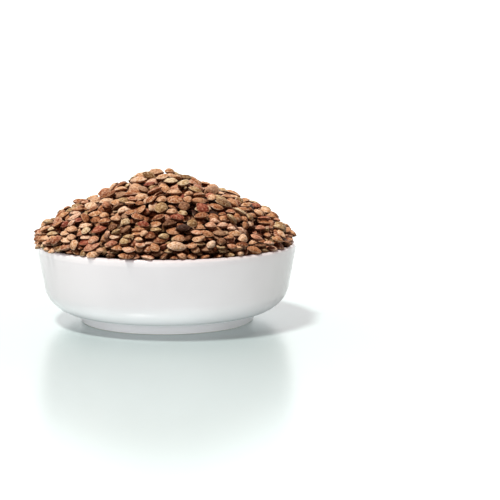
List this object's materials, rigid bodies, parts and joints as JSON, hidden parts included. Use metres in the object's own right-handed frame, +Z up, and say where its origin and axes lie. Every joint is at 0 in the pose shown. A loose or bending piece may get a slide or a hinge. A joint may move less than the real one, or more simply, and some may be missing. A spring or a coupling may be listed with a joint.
{
  "type": "bowl of horse gram",
  "caption": "Round white porcelain bowl on a foot ring, heaped well above its rim with dry whole brown seeds.",
  "frame": {"origin": "centre of the foot ring's resting face, on the bowl's axis", "axes": "+Z up along the bowl's axis, -Y towards the viewer of the picture, +X to the right; the heap's peak is a little left of the axis"},
  "size_m": [0.12, 0.12, 0.0693],
  "materials": {
    "porcelain": "gloss",
    "seeds": "satin"
  },
  "bodies": {
    "root": {"bowl": "porcelain", "horse_gram": "seeds"}
  },
  "joints": []
}
